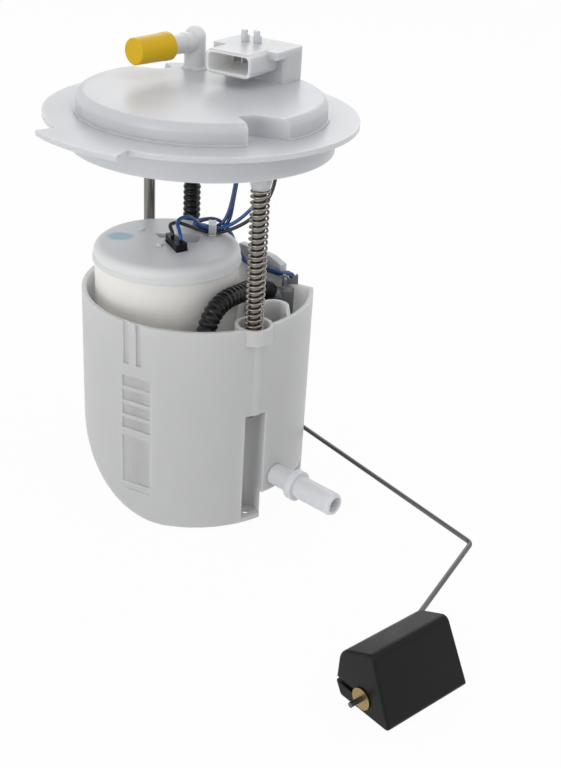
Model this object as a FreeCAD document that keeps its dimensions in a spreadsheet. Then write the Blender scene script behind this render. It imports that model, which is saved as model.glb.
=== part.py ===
import FreeCAD, Part
import math
import os

import Sketcher
from FreeCAD import Placement, Rotation, Vector

# Fuel pump module. Millimetres. The tank cover's axis is Z, z = 0 is the face that sits on the tank,
# X points right and Y away from the viewer.

os.makedirs("parts", exist_ok=True)
doc = FreeCAD.newDocument("FuelPumpModule")

# Driving sizes, one row each
SIZES = [
    ("rim_radius", 75), ("rim_thick", 2.5), ("skirt_radius", 64), ("skirt_wall", 2.6), ("skirt_depth", 12.4),
    ("dome_radius", 59.5), ("dome_top", 12), ("dome_wall", 2.5), ("dome_round", 4),
    ("ledge_radius", 60.5), ("ledge_height", 1), ("tab_radius", 85), ("tab_sweep", 34.5),
    ("rod_circle", 53.1), ("rod_azimuth", -59.5), ("rod_radius", 3), ("rod_bottom", -137),
    ("boss_radius", 5.6), ("boss_tip", 4.2), ("boss_bottom", -20), ("ring_radius", 4.9), ("ring_thick", 0.9),
    ("press_gap", 0.01), ("slide_gap", 0.08), ("loose_gap", 0.3), ("stop_gap", 0.05),
    ("hose_x", -4.5), ("hose_y", 44), ("elbow_radius", 5.4), ("elbow_axis", 25.3), ("elbow_top", 33),
    ("nipple_radius", 4.745), ("nipple_end", 38.5), ("nipple_bead", 5.2), ("fuel_bore", 2.3),
    ("cap_start", 19), ("cap_end", 41.7), ("cap_radius", 6.35), ("cap_lip", 6.85), ("cap_wall", 0.8),
    ("hose_outer", 4.3), ("hose_inner", 3.35), ("barb_radius", 3), ("barb_peak", 3.3), ("barb_length", 15),
    ("hose_top", -22), ("hose_bottom", -142),
    ("hood_left", -8), ("hood_right", 18), ("hood_low", 17.4), ("hood_high", 28.8), ("hood_mouth", 12.7),
    ("hood_back", 36.6), ("hood_wall", 1.6), ("hood_round", 3.6),
    ("block_left", -14), ("block_right", 22.7), ("block_front", 28), ("block_back", 53), ("block_top", 28.5),
    ("block_plate", 3.7), ("blade_thick", 0.8), ("blade_wide", 2.8), ("blade_pitch", 5.1),
    ("blade_middle", 5),
    ("blade_tip", 28.7), ("blade_tail", 43), ("blade_level", 21.5),
    ("spring_wire", 1), ("spring_radius", 4.1), ("spring_turns", 24), ("cup_floor", -91),
    ("bucket_radius", 58.7), ("bucket_wall", 2.2), ("bucket_rim", -87), ("bucket_bottom", -196),
    ("floor_thick", 2.2),
    ("heel_radius", 45), ("heel_x", -14), ("flat_offset", 43), ("facet_offset", 29.4),
    ("cup_radius", 9.2), ("cup_inner", 7.6), ("sleeve_radius", 6.2), ("sleeve_bottom", -134),
    ("niche_radius", 6), ("niche_rear", 5.2), ("niche_wall", 1.6),
    ("riser_x", 37.6), ("riser_y", -23.3), ("riser_inner", 5.6), ("riser_wall", 1.8),
    ("riser_floor", -179.2), ("undercut_top", -181.4), ("undercut_back", -14),
    ("spigot_level", -173.6), ("spigot_root", 5.5), ("spigot_radius", 5.9), ("spigot_bore", 4),
    ("spigot_tip", 99), ("collar_radius", 7.95), ("collar_near", 71.8), ("collar_far", 75.4),
    ("case_x", -16), ("case_y", 3.5), ("case_radius", 36.5), ("case_wall", 3), ("case_bottom", -168),
    ("case_shoulder", -74), ("neck_step", 1.5), ("case_top", -70), ("case_seam", -90.9), ("case_floor", 2.5),
    ("cap_top", -65.5), ("cap_plate", 3), ("cap_overhang", 1), ("canister_round", 4.5), ("ledge_step", 0.3),
    ("pump_radius", 19), ("pump_shell", 1), ("pump_top", -80), ("pump_foot", -165.5),
    ("element_inner", 22), ("element_gap", 1), ("plug_top", -62), ("well_floor", -71),
    ("regulator_x", 3), ("regulator_y", -43), ("regulator_radius", 9), ("regulator_seat", -133.5),
    ("return_outer", 4.5), ("return_inner", 3.2), ("lead_radius", 0.95),
    ("panel_thick", 2), ("card_thick", 1), ("hub_level", -170.5), ("hub_along", 5),
    ("wire_radius", 1.2), ("wire_offset", 50), ("float_length", 44), ("float_along", 193.5),
    ("float_far", -12.3), ("float_level", -190), ("float_slant", 3), ("slot_wide", 2.5),
    ("washer_radius", 5), ("washer_thick", 0.5),
]

sheet = doc.addObject("Spreadsheet::Sheet", "Sizes")
for row, (alias, amount) in enumerate(SIZES, start=1):
    sheet.set("A%d" % row, alias)
    sheet.set("B%d" % row, str(amount))
    sheet.setAlias("B%d" % row, alias)
doc.recompute()


class Size:
    """A length that carries its value and the spreadsheet formula behind it."""

    def __init__(self, value, text):
        self.value = float(value)
        self.text = text

    def __float__(self):
        return self.value

    def __add__(self, other):
        other = as_size(other)
        return Size(self.value + other.value, "(%s + %s)" % (self.text, other.text))

    def __sub__(self, other):
        other = as_size(other)
        return Size(self.value - other.value, "(%s - %s)" % (self.text, other.text))

    def __mul__(self, other):
        other = as_size(other)
        return Size(self.value * other.value, "(%s * %s)" % (self.text, other.text))

    def __truediv__(self, other):
        other = as_size(other)
        return Size(self.value / other.value, "(%s / %s)" % (self.text, other.text))

    def __radd__(self, other):
        return as_size(other) + self

    def __rsub__(self, other):
        return as_size(other) - self

    def __rmul__(self, other):
        return as_size(other) * self

    def __neg__(self):
        return as_size(0) - self


def as_size(amount):
    """A plain number becomes a Size whose formula is the number itself."""
    if isinstance(amount, Size):
        return amount
    return Size(amount, "(%.9g)" % amount)


class SizeTable:
    """Gives every spreadsheet row by its name."""

    def __init__(self, rows):
        for alias, amount in rows:
            setattr(self, alias, Size(amount, "Sizes.%s" % alias))


size = SizeTable(SIZES)


def bind(item, name, amount):
    """Tie a property to the spreadsheet, or set it when it is a plain number."""
    if isinstance(amount, Size):
        item.setExpression(name, amount.text)
    elif name.startswith("Placement"):
        item.setExpression(name, "%.9g" % amount)
    else:
        setattr(item, name, amount)


class Frame:
    """A local frame: turned about Z by some degrees and set at a point."""

    def __init__(self, turn=0, x=0, y=0):
        self.turn = float(turn)
        self.x = as_size(x)
        self.y = as_size(y)
        self.cos = math.cos(math.radians(self.turn))
        self.sin = math.sin(math.radians(self.turn))

    def spot(self, x, y, z):
        """World point of a local one, as plain numbers."""
        x, y, z = float(x), float(y), float(z)
        across = float(self.x) + x * self.cos - y * self.sin
        along = float(self.y) + x * self.sin + y * self.cos
        return Vector(across, along, z)

    def place(self, item, x, y, z, lean=Rotation()):
        """Set an item at a local point, its position tied to the spreadsheet."""
        item.Placement = Placement(Vector(), Rotation(Vector(0, 0, 1), self.turn).multiply(lean))
        bind(item, "Placement.Base.x", self.x + as_size(x) * self.cos - as_size(y) * self.sin)
        bind(item, "Placement.Base.y", self.y + as_size(x) * self.sin + as_size(y) * self.cos)
        bind(item, "Placement.Base.z", as_size(z))


WORLD = Frame()
ROD_FRONT = Frame(size.rod_azimuth)
ROD_REAR = Frame(size.rod_azimuth + 180)
SOCKET = Frame(-35)
SENDER = Frame(-53)
FACET = Frame(-29.35)
ELBOW = Frame(-134, size.hose_x, size.hose_y)
CASE = Frame(0, size.case_x, size.case_y)
SPIGOT = Frame(-45)
PAD = Frame(-120)
LEANS = {
    "up": Rotation(),
    "x": Rotation(Vector(0, 1, 0), 90),
    "y": Rotation(Vector(1, 0, 0), -90),
}


# Building blocks
counter = [0]


def fresh(kind, label=None):
    """A new document object with its label."""
    counter[0] += 1
    item = doc.addObject(kind, "Item%d" % counter[0])
    item.Label = label or item.Name
    return item


def outline(body, role, points, lift=0):
    """Closed straight-sided outline whose corners are tied to the spreadsheet."""
    sketch = body.newObject("Sketcher::SketchObject", body.Name + "Outline")
    plane = [part for part in body.Origin.OriginFeatures if part.Role == role][0]
    sketch.AttachmentSupport = [(plane, "")]
    sketch.MapMode = "FlatFace"
    if float(lift):
        bind(sketch, "AttachmentOffset.Base.z", as_size(lift))
    corners = [(as_size(x), as_size(y)) for x, y in points]
    spots = [Vector(float(x), float(y), 0) for x, y in corners]
    for index, spot in enumerate(spots):
        sketch.addGeometry(Part.LineSegment(spot, spots[(index + 1) % len(spots)]))
    for index in range(len(spots)):
        sketch.addConstraint(Sketcher.Constraint("Coincident", index, 2, (index + 1) % len(spots), 1))
    for index, (x, y) in enumerate(corners):
        for kind, amount, axis in (("DistanceX", x, -2), ("DistanceY", y, -1)):
            if abs(float(amount)) < 1e-9:
                sketch.addConstraint(Sketcher.Constraint("PointOnObject", index, 1, axis))
                continue
            number = sketch.addConstraint(Sketcher.Constraint(kind, -1, 1, index, 1, float(amount)))
            if "Sizes" in amount.text:
                sketch.setExpression("Constraints[%d]" % number, amount.text)
    return sketch


def turned(points, frame=WORLD, x=0, y=0, z=0, label=None, lean=Rotation()):
    """A body of revolution from radius and height pairs."""
    body = fresh("PartDesign::Body", label)
    sketch = outline(body, "XZ_Plane", points)
    turn = body.newObject("PartDesign::Revolution", body.Name + "Turn")
    turn.Profile = sketch
    turn.ReferenceAxis = (sketch, ["V_Axis"])
    turn.Angle = 360
    sketch.Visibility = False
    frame.place(body, x, y, z, lean)
    return body


def raised(points, bottom, top, frame=WORLD, label=None):
    """A plan outline raised from one level to another."""
    body = fresh("PartDesign::Body", label)
    sketch = outline(body, "XY_Plane", points)
    pad = body.newObject("PartDesign::Pad", body.Name + "Pad")
    pad.Profile = sketch
    bind(pad, "Length", as_size(top) - bottom)
    frame.place(body, 0, 0, bottom)
    return body


def drawn(points, near, far, frame=WORLD, label=None):
    """An outline in the upright x-z plane drawn out along y from near to far."""
    body = fresh("PartDesign::Body", label)
    sketch = outline(body, "XZ_Plane", points)
    pad = body.newObject("PartDesign::Pad", body.Name + "Pad")
    pad.Profile = sketch
    bind(pad, "Length", as_size(far) - near)
    frame.place(body, 0, far, 0)
    return body


def rounded(body, radius, wanted):
    """Round the edges of a body that the test picks out."""
    doc.recompute()
    tip = body.Tip
    names = ["Edge%d" % (index + 1) for index, edge in enumerate(tip.Shape.Edges) if wanted(edge)]
    if not names:
        raise ValueError("no edge found for " + body.Label)
    fillet = body.newObject("PartDesign::Fillet", body.Name + "Round%d" % len(body.Group))
    fillet.Base = (tip, names)
    bind(fillet, "Radius", radius)
    return body


def box(x, y, z, frame=WORLD, label=None):
    """A box from three pairs of limits."""
    item = fresh("Part::Box", label)
    for name, (low, high) in (("Length", x), ("Width", y), ("Height", z)):
        bind(item, name, as_size(high) - low)
    frame.place(item, x[0], y[0], z[0])
    return item


def rod(radius, span, at, lean="up", frame=WORLD, label=None):
    """A cylinder over a span along one local axis, at a point on the two others."""
    item = fresh("Part::Cylinder", label)
    bind(item, "Radius", as_size(radius))
    bind(item, "Height", as_size(span[1]) - span[0])
    x, y, z = {
        "up": (at[0], at[1], span[0]),
        "x": (span[0], at[0], at[1]),
        "y": (at[0], span[0], at[1]),
    }[lean]
    frame.place(item, x, y, z, LEANS[lean])
    return item


def fuse(*items, label=None):
    """One solid from several."""
    item = fresh("Part::MultiFuse", label)
    item.Shapes = list(items)
    item.Refine = True
    return item


def cut(base, *tools, label=None):
    """The base without the tools."""
    item = fresh("Part::Cut", label)
    item.Base = base
    item.Tool = tools[0] if len(tools) == 1 else fuse(*tools)
    item.Refine = True
    return item


def common(*items, label=None):
    """What all the items share."""
    item = fresh("Part::MultiCommon", label)
    item.Shapes = list(items)
    return item


def route(points):
    """Straight runs joined by tangent arcs."""
    spots = [Vector(*point) for point in points]
    edges = []
    start = spots[0]
    for before, here, after in zip(spots, spots[1:], spots[2:]):
        into = (here - before).normalize()
        out = (after - here).normalize()
        half = into.getAngle(out) / 2
        shorter = min((here - before).Length, (after - here).Length)
        reach = 0.45 * shorter
        radius = reach / math.tan(half)
        first = here - into * reach
        last = here + out * reach
        centre_way = (out - into).normalize()
        centre = here + centre_way * (radius / math.cos(half))
        middle = centre + (here - centre).normalize() * radius
        edges.append(Part.LineSegment(start, first).toShape())
        edges.append(Part.Arc(first, middle, last).toShape())
        start = last
    edges.append(Part.LineSegment(start, spots[-1]).toShape())
    return Part.Wire(edges)


def swept(points, radius):
    """A round bar along a route."""
    wire = route(points)
    first = wire.Edges[0]
    way = first.tangentAt(first.FirstParameter)
    ring = Part.Wire([Part.makeCircle(float(radius), first.valueAt(first.FirstParameter), way)])
    shape = wire.makePipeShell([ring], True, False)
    expected = math.pi * float(radius) ** 2 * wire.Length
    if abs(shape.Volume / expected - 1) > 0.02:
        raise ValueError("bar volume is off: %.1f for %.1f" % (shape.Volume, expected))
    return shape, wire.Length


lengths = {}


def cord(label, points, outer, inner=None):
    """A hose or lead along its route."""
    item = fresh("Part::Feature", label)
    shape, lengths[label] = swept(points, outer)
    if inner is not None:
        shape = shape.cut(swept(points, inner)[0])
    item.Shape = shape
    return item


def upright(edge):
    """True for a straight vertical edge."""
    box_of = edge.BoundBox
    return box_of.XLength < 1e-3 and box_of.YLength < 1e-3


def level_ring(height, radius):
    """A test for a full circle at one height and radius."""
    def wanted(edge):
        same_height = abs(edge.BoundBox.ZMax - float(height)) < 1e-6 and edge.BoundBox.ZLength < 1e-6
        return same_height and abs(edge.BoundBox.XMax - float(radius)) < 1e-3
    return wanted


# Tank cover
neck = size.skirt_radius - size.skirt_wall
cover_round = turned([
    (0, 0), (neck, 0), (neck, -size.skirt_depth), (size.skirt_radius, -size.skirt_depth), (size.skirt_radius, 0),
    (size.rim_radius, 0), (size.rim_radius, size.rim_thick), (size.ledge_radius, size.rim_thick),
    (size.ledge_radius, size.rim_thick + size.ledge_height), (size.dome_radius, size.rim_thick + size.ledge_height),
    (size.dome_radius, size.dome_top), (0, size.dome_top),
])
rounded(cover_round, size.dome_round, level_ring(size.dome_top, size.dome_radius))
hollow_radius = size.dome_radius - size.dome_wall
cover_hollow = turned([
    (0, -1), (hollow_radius, -1), (hollow_radius, size.dome_top - size.dome_wall),
    (0, size.dome_top - size.dome_wall),
])
rounded(cover_hollow, size.dome_round - size.dome_wall, level_ring(size.dome_top - size.dome_wall, hollow_radius))

# The two scalloped notches over the rods and the closed housings under them
NOTCH = [(66, -12.8), (45.2, -8.8), (46, 0), (66, 15.9)]
HOUSING = [(66, -15.1), (42.7, -10.7), (43.75, 1.15), (66, 18.8)]
notches = []
housings = []
bosses = []
bores = []
webs = []
for frame in (ROD_FRONT, ROD_REAR):
    notch = raised(NOTCH, size.rim_thick, size.dome_top + 4, frame)
    rounded(notch, 2, lambda edge: upright(edge) and abs(edge.BoundBox.XMin - 45.2) < 0.1)
    rounded(notch, 7, lambda edge: upright(edge) and abs(edge.BoundBox.XMin - 46) < 0.1)
    notches.append(notch)
    housing = raised(HOUSING, -1, size.dome_top, frame)
    rounded(housing, 3, lambda edge: upright(edge) and abs(edge.BoundBox.XMin - 42.7) < 0.1)
    housings.append(housing)
    bosses.append(turned([
        (0, 1), (size.boss_radius, 1), (size.boss_radius, -10), (size.boss_radius - 0.6, size.boss_bottom + 3),
        (size.boss_tip, size.boss_bottom), (0, size.boss_bottom),
    ], frame, size.rod_circle))
    bores.append(rod(size.rod_radius + size.press_gap, (size.boss_bottom - 1, 0), (size.rod_circle, 0), frame=frame))
    webs.append(box((size.rod_circle, neck + 0.5), (-1.1, 1.1), (1 - size.skirt_depth, 1), frame))

# Outer tab: a wing of the rim on the left
tab = fresh("Part::Cylinder")
bind(tab, "Radius", size.tab_radius)
bind(tab, "Height", size.rim_thick)
bind(tab, "Angle", size.tab_sweep)
Frame(-149).place(tab, 0, 0, 0)
tab_hole = rod(size.skirt_radius + 4, (-1, size.rim_thick + 1), (0, 0))
wing = cut(tab, tab_hole)

# Elbow with the outlet nipple, and the hose nipple under the cover
elbow_post = rod(size.elbow_radius, (size.dome_top - 1, size.elbow_top - size.elbow_radius), (0, 0), frame=ELBOW)
elbow_foot = turned([
    (0, size.dome_top - 1), (size.elbow_radius + 1.6, size.dome_top - 1), (size.elbow_radius + 1.6, size.dome_top),
    (size.elbow_radius, size.dome_top + 1.6), (0, size.dome_top + 1.6),
], ELBOW)
elbow_crown = fresh("Part::Sphere")
bind(elbow_crown, "Radius", size.elbow_radius)
ELBOW.place(elbow_crown, 0, 0, size.elbow_top - size.elbow_radius)
arm_root = rod(size.elbow_radius - 0.3, (0, 8.5), (0, size.elbow_axis), "x", ELBOW)
nipple = turned([
    (0, 5), (size.nipple_radius, 5), (size.nipple_radius, 22), (size.nipple_bead, 23.2), (size.nipple_bead, 24.6),
    (size.nipple_radius, 25.8), (size.nipple_radius, size.nipple_end - 1.6), (size.nipple_radius - 1, size.nipple_end),
    (0, size.nipple_end),
], ELBOW, 0, 0, size.elbow_axis, lean=LEANS["x"])
hose_boss = rod(size.hose_outer + 0.2, (size.hose_top, size.dome_top - 1), (0, 0), frame=ELBOW)
BARB = []
for step in range(3):
    low = -size.barb_length + 4 * step
    BARB += [(size.barb_radius, low), (size.barb_peak, low + 2.6), (size.barb_radius, low + 2.7)]
hose_barb = turned([(0, -size.barb_length)] + BARB + [(size.barb_radius, 1), (0, 1)], ELBOW, 0, 0, size.hose_top)
fuel_down = rod(size.fuel_bore, (size.hose_top - size.barb_length - 1, size.elbow_axis), (0, 0), frame=ELBOW)
fuel_out = rod(size.fuel_bore, (0, size.nipple_end + 1), (0, size.elbow_axis), "x", ELBOW)

# Connector hood on its pedestal
hood = drawn([
    (size.hood_left, size.hood_low), (size.hood_right, size.hood_low),
    (size.hood_right, size.hood_high), (size.hood_left, size.hood_high),
], size.hood_mouth, size.hood_back, SOCKET)


def along_y(edge):
    """True for a straight edge along the local y of an upright outline."""
    return edge.BoundBox.YLength > 5 and edge.BoundBox.XLength < 1e-3 and edge.BoundBox.ZLength < 1e-3


rounded(hood, size.hood_round, along_y)
hood_hollow = drawn([
    (size.hood_left + size.hood_wall, size.hood_low + size.hood_wall),
    (size.hood_right - size.hood_wall, size.hood_low + size.hood_wall),
    (size.hood_right - size.hood_wall, size.hood_high - size.hood_wall),
    (size.hood_left + size.hood_wall, size.hood_high - size.hood_wall),
], size.hood_mouth - 1, size.hood_back - size.hood_wall, SOCKET)
rounded(hood_hollow, size.hood_round - size.hood_wall, along_y)
pedestal = raised([
    (size.block_left, size.hood_back), (size.block_right, size.hood_back),
    (size.block_right, size.block_back), (size.block_left, size.block_back),
], size.dome_top - size.dome_wall, size.block_top, SOCKET)
rounded(pedestal, 2.5, upright)
shelf = box((size.block_left, size.block_right), (size.block_front, size.hood_back + 3),
            (size.block_top - size.block_plate, size.block_top), SOCKET)
pedestal_hollow = box((size.block_left + 2.5, size.block_right - 2.5), (size.hood_back + 2.4, size.block_back - 2.5),
                      (size.dome_top - 4, size.block_top - 2.5), SOCKET)
posts = []
for along, back in ((-2.5, 37.7), (3.5, 39.4)):
    posts.append(rod(1.6, (size.block_top - 1, size.block_top + 6), (along, back), frame=SOCKET))
    posts.append(box((along - 0.5, along + 0.5), (back, back + 4), (size.block_top - 1, size.block_top + 3), SOCKET))
blades = []
slots = []
for place in (-1.5, -0.5, 0.5, 1.5):
    middle = size.blade_middle + place * size.blade_pitch
    half = size.blade_thick / 2
    reach = size.blade_wide / 2
    blades.append(box((middle - half, middle + half), (size.blade_tip, size.blade_tail),
                      (size.blade_level - reach, size.blade_level + reach), SOCKET))
    gap = size.press_gap
    slots.append(box((middle - half - gap, middle + half + gap), (size.blade_tip + 2, size.blade_tail - 2),
                     (size.blade_level - reach - gap, size.blade_level + reach + gap), SOCKET))
fuse(*blades, label="connector_terminals")

cover_solid = cut(fuse(cover_round, wing), cut(cover_hollow, *housings))
cut(
    fuse(cover_solid, *bosses, *webs, elbow_post, elbow_foot, elbow_crown, arm_root, nipple, hose_boss, hose_barb,
         hood, pedestal, shelf, *posts),
    *notches, *bores, fuel_down, fuel_out, hood_hollow, pedestal_hollow, *slots,
    label="flange_cover",
)

# Guide rods with the groove for the retaining ring
groove_top = size.sleeve_bottom
groove_low = groove_top - size.ring_thick - 2 * size.stop_gap
for name, frame in (("guide_rod_front", ROD_FRONT), ("guide_rod_rear", ROD_REAR)):
    turned([
        (0, 0), (size.rod_radius, 0), (size.rod_radius, groove_top), (size.rod_radius - 0.5, groove_top),
        (size.rod_radius - 0.5, groove_low), (size.rod_radius, groove_low), (size.rod_radius, size.rod_bottom + 0.6),
        (size.rod_radius - 0.6, size.rod_bottom), (0, size.rod_bottom),
    ], frame, size.rod_circle, label=name)
rings = []
for frame in (ROD_FRONT, ROD_REAR):
    rings.append(turned([
        (size.rod_radius - 0.48, groove_low + size.stop_gap), (size.ring_radius, groove_low + size.stop_gap),
        (size.ring_radius, groove_top - size.stop_gap), (size.rod_radius - 0.48, groove_top - size.stop_gap),
    ], frame, size.rod_circle))
fuse(*rings, label="rod_retaining_rings")

# Lift spring between the boss and the cup floor
wire_half = size.spring_wire / 2
coil = fresh("Part::Helix")
coil_height = size.boss_bottom - size.cup_floor - size.spring_wire
bind(coil, "Radius", size.spring_radius)
bind(coil, "Height", coil_height)
bind(coil, "Pitch", coil_height / size.spring_turns)
ROD_FRONT.place(coil, size.rod_circle, 0, size.cup_floor + wire_half)
section = fresh("Part::Circle")
bind(section, "Radius", wire_half)
ROD_FRONT.place(section, size.rod_circle + size.spring_radius, 0, size.cup_floor + wire_half,
                Rotation(Vector(1, 0, 0), 90))
spring = fresh("Part::Sweep", "lift_spring")
spring.Sections = [section]
spring.Spine = (coil, [])
spring.Solid = True
spring.Frenet = True

# Yellow cap over the outlet nipple
turned([
    (0, size.cap_end), (size.cap_radius - 0.6, size.cap_end), (size.cap_radius, size.cap_end - 0.6),
    (size.cap_lip - 0.15, size.cap_start + 3.4), (size.cap_lip, size.cap_start + 3.2), (size.cap_lip, size.cap_start),
    (size.cap_lip - size.cap_wall, size.cap_start), (size.cap_radius - size.cap_wall, size.cap_start + 8),
    (size.cap_radius - size.cap_wall, size.cap_end - 1.2), (0, size.cap_end - 1.2),
], ELBOW, 0, 0, size.elbow_axis, "outlet_dust_cap", LEANS["x"])


# Reservoir bucket
def bucket_shell(inset, low, high):
    """The bucket's outer form, drawn in by a wall thickness."""
    whole = rod(size.bucket_radius - inset, (low, high), (0, 0))
    flat = box((-90, 90), (size.flat_offset - inset, 100), (-230, -50), SENDER)
    facet = box((-90, 90), (size.facet_offset - inset, 100), (-230, -50), FACET)
    corner = box((-90, size.heel_x), (-90, 90), (-230, size.bucket_bottom + size.heel_radius))
    heel = rod(size.heel_radius - inset, (-95, 95), (size.heel_x, size.bucket_bottom + size.heel_radius), "y")
    return cut(whole, common(flat, facet), cut(corner, heel))


wall = size.bucket_wall
outer = bucket_shell(0, size.bucket_bottom, size.bucket_rim)
inner = bucket_shell(wall, size.bucket_bottom + size.floor_thick, size.bucket_rim + 5)
added = [rod(size.cup_radius, (size.cup_floor - 4, size.bucket_rim), (size.rod_circle, 0), frame=ROD_FRONT)]
kept = [rod(size.cup_radius, (size.cup_floor - 4, size.bucket_rim), (size.rod_circle, 0), frame=ROD_FRONT)]
niches = []
sleeve_bores = []
for frame, niche in ((ROD_FRONT, size.niche_radius), (ROD_REAR, size.niche_rear)):
    niche_outer = niche + size.niche_wall
    added.append(rod(size.sleeve_radius, (size.sleeve_bottom, size.bucket_rim), (size.rod_circle, 0), frame=frame))
    kept.append(rod(size.sleeve_radius, (size.sleeve_bottom - 1, size.bucket_rim), (size.rod_circle, 0), frame=frame))
    kept.append(rod(niche_outer, (-200, size.sleeve_bottom + wall), (size.rod_circle, 0), frame=frame))
    kept.append(box((size.rod_circle, 70), (-niche_outer, niche_outer), (-200, size.sleeve_bottom + wall), frame))
    niches.append(rod(niche, (size.bucket_bottom + 2, size.sleeve_bottom), (size.rod_circle, 0), frame=frame))
    niches.append(box((size.rod_circle, 75), (-niche, niche), (size.bucket_bottom + 2, size.sleeve_bottom), frame))
    sleeve_bores.append(rod(size.rod_radius + size.slide_gap, (size.sleeve_bottom - 1, size.bucket_rim + 1),
                            (size.rod_circle, 0), frame=frame))
hook = box((size.bucket_radius, size.bucket_radius + 1.8), (-size.niche_radius - 3, size.niche_radius + 3),
           (-146, -141), ROD_FRONT)
hook_root = box((size.bucket_radius - 2.2, size.bucket_radius + 1), (size.niche_radius, size.niche_radius + 3),
                (-146, -141), ROD_FRONT)
hook_foot = box((size.bucket_radius - 2.2, size.bucket_radius + 1), (-size.niche_radius - 3, -size.niche_radius),
                (-146, -141), ROD_FRONT)
cup_hollow = rod(size.cup_inner, (size.cup_floor, size.bucket_rim + 1), (size.rod_circle, 0), frame=ROD_FRONT)
foot_hole = rod(2, (size.bucket_bottom - 1, size.bucket_bottom + 3), (size.rod_circle, 0), frame=ROD_FRONT)

# Riser chamber at the right front, with the undercut under it
riser_outer = size.riser_inner + size.riser_wall
riser_wall = cut(
    fuse(rod(riser_outer, (size.undercut_top, size.bucket_rim), (size.riser_x, size.riser_y)),
         box((size.riser_x - riser_outer, size.riser_x + riser_outer), (-70, size.riser_y),
             (size.undercut_top, size.bucket_rim))),
    rod(size.riser_inner, (size.riser_floor, size.bucket_rim + 9), (size.riser_x, size.riser_y)),
    box((size.riser_x - size.riser_inner, size.riser_x + size.riser_inner), (-75, size.riser_y),
        (size.riser_floor, size.bucket_rim + 9)),
)
undercut = box((34, 80), (-80, size.undercut_back), (-210, size.undercut_top))
undercut_kept = box((34 - wall, 80), (-80, size.undercut_back + wall), (-210, size.riser_floor))
NOZZLE = Frame(-107.3, 45, 0.5)
nozzle_hole = rod(3.2 + size.slide_gap, (10, 22), (0, -172), "x", NOZZLE)
spigot_hole = rod(size.spigot_root + size.press_gap, (48, 64), (0, size.spigot_level), "x", SPIGOT)
spigot_boss = rod(size.spigot_root + 2, (52, size.bucket_radius + 2), (0, size.spigot_level), "x", SPIGOT)
spigot_boss = common(spigot_boss, box((50, 70), (-10, 10), (size.undercut_top, -160), SPIGOT))

# Posts that carry the canister, and rails for the sender plate
saddles = []
for turn in (90, 205, 335):
    saddles.append(box((size.case_radius - 8.5, size.case_radius - 2.5), (-4, 4), (-200, size.case_bottom),
                       Frame(turn, size.case_x, size.case_y)))
rails = []
for low, high in ((-14, -12.05), (20.05, 22)):
    rails.append(box((low, high), (size.flat_offset - 1, size.flat_offset + 3.5), (-184, -95), SENDER))
rail_foot = box((-14, 22), (size.flat_offset - 1, size.flat_offset + 2.1), (-184, -182), SENDER)

# Flat pad on the left front with slots, louvres and the long recess
PAD_AT = size.bucket_radius - 0.7
pad_cut = box((PAD_AT, 70), (-9.5, 9.5), (-180, -91), PAD)
slots_cut = [
    box((PAD_AT - 0.9, 70), (-7, -4), (-109, -80), PAD),
    box((PAD_AT - 0.9, 70), (0, 3), (-109, -80), PAD),
]
for step in range(4):
    slots_cut.append(box((PAD_AT - 0.9, 70), (-8, 8), (-121.5 - 7.8 * step, -115.5 - 7.8 * step), PAD))
slots_cut.append(box((PAD_AT - 0.7, 70), (-8, 8), (-176, -149), PAD))

valve_hole = rod(1.6, (size.bucket_bottom - 1, size.bucket_bottom + 5), (20, 15))
valve_ports = [rod(1.2, (size.bucket_bottom - 1, size.bucket_bottom + 5), (20 + 4.2 * x, 15 + 4.2 * y))
               for x, y in ((1, 0), (0, 1), (-1, 0), (0, -1))]
bucket_hollow = cut(cut(inner, riser_wall, undercut_kept, *saddles, spigot_boss), *kept)
cut(
    cut(fuse(outer, *added, *rails, rail_foot), bucket_hollow),
    *niches, *sleeve_bores, cup_hollow, foot_hole, undercut, nozzle_hole, spigot_hole, pad_cut, *slots_cut,
    valve_hole, *valve_ports,
    label="reservoir_bucket",
)

# Side pipe at the foot of the bucket
turned([
    (size.spigot_bore, 53), (size.spigot_root, 53), (size.spigot_root, size.collar_near),
    (size.collar_radius, size.collar_near), (size.collar_radius, size.collar_far),
    (size.spigot_radius, size.collar_far), (size.spigot_radius, size.spigot_tip - 1.5),
    (size.spigot_radius - 0.8, size.spigot_tip), (size.spigot_bore, size.spigot_tip),
], SPIGOT, 0, 0, size.spigot_level, "transfer_spigot", LEANS["x"])

# Rubber flap valve in the floor
floor_top = size.bucket_bottom + size.floor_thick
turned([
    (0, floor_top + 1.6), (3, floor_top + 1.4), (6.6, floor_top + 0.5), (6.6, floor_top), (1.5, floor_top),
    (1.5, floor_top - 2.6), (2.1, floor_top - 2.8), (0, floor_top - 4),
], WORLD, 20, 15, 0, "inlet_valve")

# Canister
tube_inner = size.pump_radius + size.slide_gap
case_inner = size.case_radius - size.case_wall
case_neck = size.case_radius - size.neck_step
canister = turned([
    (12, size.case_bottom), (size.case_radius, size.case_bottom), (size.case_radius, size.case_seam - 0.2),
    (size.case_radius - 0.2, size.case_seam), (size.case_radius, size.case_seam + 0.2),
    (size.case_radius, size.case_shoulder), (case_neck, size.case_shoulder), (case_neck, size.case_top),
    (case_inner, size.case_top), (case_inner, size.case_bottom + size.case_floor),
    (tube_inner + 1.8, size.case_bottom + size.case_floor), (tube_inner + 1.8, -92), (tube_inner, -92),
    (tube_inner, size.case_bottom + size.case_floor), (12, size.case_bottom + size.case_floor),
], CASE)
OUTLET = Frame(74.15, size.case_x, size.case_y)
outlet_reach = 42.1
outlet_bar = rod(4.4, (size.case_radius - 2.5, outlet_reach), (0, -150), "x", OUTLET)
outlet_post = rod(4.6, (-154.5, size.hose_bottom), (0, 0), frame=ELBOW)
outlet_barb = turned([(0, size.barb_length)] + [(r, -level) for r, level in BARB]
                     + [(size.barb_radius, -1), (0, -1)], ELBOW, 0, 0, size.hose_bottom)
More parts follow.
